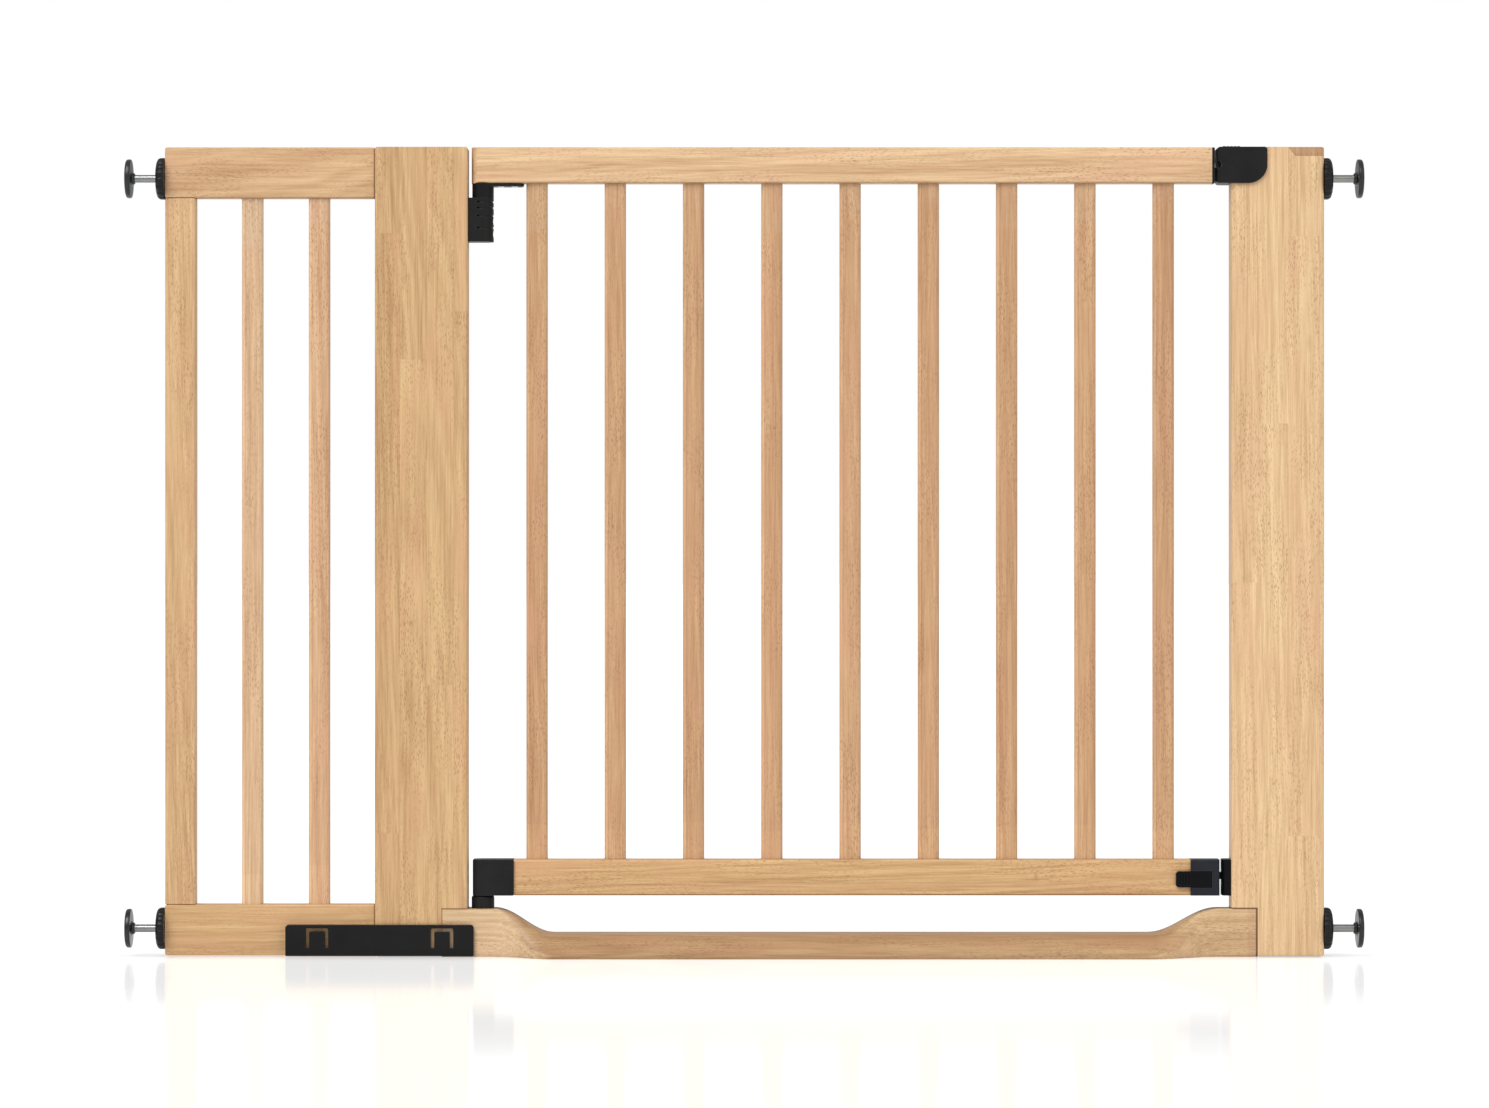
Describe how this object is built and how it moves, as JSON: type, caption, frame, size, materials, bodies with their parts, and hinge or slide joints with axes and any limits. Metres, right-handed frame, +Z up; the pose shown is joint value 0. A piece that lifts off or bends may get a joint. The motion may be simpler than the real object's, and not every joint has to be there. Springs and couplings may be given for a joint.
{
  "type": "safety gate",
  "caption": "Wooden pressure-fit safety gate: slatted leaf swinging between posts over a low threshold, with a side extension, top latch, lower lock and hand-wheel spindles.",
  "frame": {"origin": "on the floor, under the middle of the gate's length and depth", "axes": "+X along the gate from the extension panel to the latch post, +Y from the front face to the back, +Z up"},
  "size_m": [1.2396, 0.09, 0.8114],
  "materials": {
    "beech": "clear satin lacquer",
    "beech_slat": "clear satin lacquer",
    "black_plastic": "fine moulded matt",
    "zinc_steel": "bright zinc",
    "pad_rubber": "matt"
  },
  "bodies": {
    "frame": {"left_post": "beech", "right_post": "beech", "threshold": "beech", "frame_bolts": "zinc_steel", "spindle_bushes": "black_plastic", "frame_screws": "zinc_steel", "extension_top_rail": "beech", "extension_bottom_rail": "beech", "extension_stile": "beech", "extension_pins": "zinc_steel", "extension_slat_1": "beech_slat", "extension_slat_2": "beech_slat", "joining_bracket": "black_plastic", "upper_hinge_socket": "black_plastic", "lower_pivot_socket": "black_plastic", "strike_block": "black_plastic", "latch_housing": "black_plastic", "latch_spring": "zinc_steel"},
    "gate": {"gate_top_rail": "beech", "gate_bottom_rail": "beech", "gate_slat_1": "beech_slat", "gate_slat_2": "beech_slat", "gate_slat_3": "beech_slat", "gate_slat_4": "beech_slat", "gate_slat_5": "beech_slat", "gate_slat_6": "beech_slat", "gate_slat_7": "beech_slat", "gate_slat_8": "beech_slat", "gate_slat_9": "beech_slat", "upper_hinge_leaf": "black_plastic", "upper_hinge_pin": "zinc_steel", "lower_hinge_shoe": "black_plastic", "lower_pivot_pin": "zinc_steel", "gate_end_plate": "black_plastic", "lock_cover": "black_plastic", "gate_screws": "zinc_steel"},
    "latch": {"latch_bolt": "black_plastic", "latch_button": "black_plastic"},
    "lock": {"lock_slider": "black_plastic", "lock_bolt": "black_plastic"},
    "wheel_top_left": {"hand_wheel_top_left": "black_plastic", "wheel_nut_top_left": "zinc_steel"},
    "spindle_top_left": {"spindle_rod_top_left": "zinc_steel", "wall_pad_top_left": "pad_rubber"},
    "wheel_bottom_left": {"hand_wheel_bottom_left": "black_plastic", "wheel_nut_bottom_left": "zinc_steel"},
    "spindle_bottom_left": {"spindle_rod_bottom_left": "zinc_steel", "wall_pad_bottom_left": "pad_rubber"},
    "wheel_top_right": {"hand_wheel_top_right": "black_plastic", "wheel_nut_top_right": "zinc_steel"},
    "spindle_top_right": {"spindle_rod_top_right": "zinc_steel", "wall_pad_top_right": "pad_rubber"},
    "wheel_bottom_right": {"hand_wheel_bottom_right": "black_plastic", "wheel_nut_bottom_right": "zinc_steel"},
    "spindle_bottom_right": {"spindle_rod_bottom_right": "zinc_steel", "wall_pad_bottom_right": "pad_rubber"}
  },
  "joints": [
    {"name": "gate_swing", "type": "hinge", "parent": "frame", "child": "gate", "pos_m": [-0.262, 0, 0.4], "axis": [0, 0, 1], "range_deg": [-90, 90]},
    {"name": "latch_slide", "type": "slide", "parent": "frame", "child": "latch", "axis": [1, 0, 0], "range_m": [0, 0.009], "stiffness_N_per_m": 400, "springref_m": -0.012, "deforming": ["latch_spring"]},
    {"name": "lock_slide", "type": "slide", "parent": "gate", "child": "lock", "axis": [-1, 0, 0], "range_m": [0, 0.009]},
    {"name": "wheel_turn_top_left", "type": "hinge", "parent": "frame", "child": "wheel_top_left", "pos_m": [-0.585, 0, 0.779], "axis": [-1, 0, 0], "range_deg": [-4040, 5770]},
    {"name": "spindle_slide_top_left", "type": "slide", "parent": "frame", "child": "spindle_top_left", "axis": [-1, 0, 0], "range_m": [-0.014, 0.02]},
    {"name": "wheel_turn_bottom_left", "type": "hinge", "parent": "frame", "child": "wheel_bottom_left", "pos_m": [-0.585, 0, 0.0275], "axis": [-1, 0, 0], "range_deg": [-4040, 5770]},
    {"name": "spindle_slide_bottom_left", "type": "slide", "parent": "frame", "child": "spindle_bottom_left", "axis": [-1, 0, 0], "range_m": [-0.014, 0.02]},
    {"name": "wheel_turn_top_right", "type": "hinge", "parent": "frame", "child": "wheel_top_right", "pos_m": [0.585, 0, 0.779], "axis": [1, 0, 0], "range_deg": [-4040, 5770]},
    {"name": "spindle_slide_top_right", "type": "slide", "parent": "frame", "child": "spindle_top_right", "axis": [1, 0, 0], "range_m": [-0.014, 0.02]},
    {"name": "wheel_turn_bottom_right", "type": "hinge", "parent": "frame", "child": "wheel_bottom_right", "pos_m": [0.585, 0, 0.0275], "axis": [1, 0, 0], "range_deg": [-4040, 5770]},
    {"name": "spindle_slide_bottom_right", "type": "slide", "parent": "frame", "child": "spindle_bottom_right", "axis": [1, 0, 0], "range_m": [-0.014, 0.02]}
  ],
  "couplings": [
    {"joint": "wheel_turn_top_left", "follows": "spindle_slide_top_left", "rad_per_m": 5026.5},
    {"joint": "wheel_turn_bottom_left", "follows": "spindle_slide_bottom_left", "rad_per_m": 5026.5},
    {"joint": "wheel_turn_top_right", "follows": "spindle_slide_top_right", "rad_per_m": 5026.5},
    {"joint": "wheel_turn_bottom_right", "follows": "spindle_slide_bottom_right", "rad_per_m": 5026.5}
  ]
}
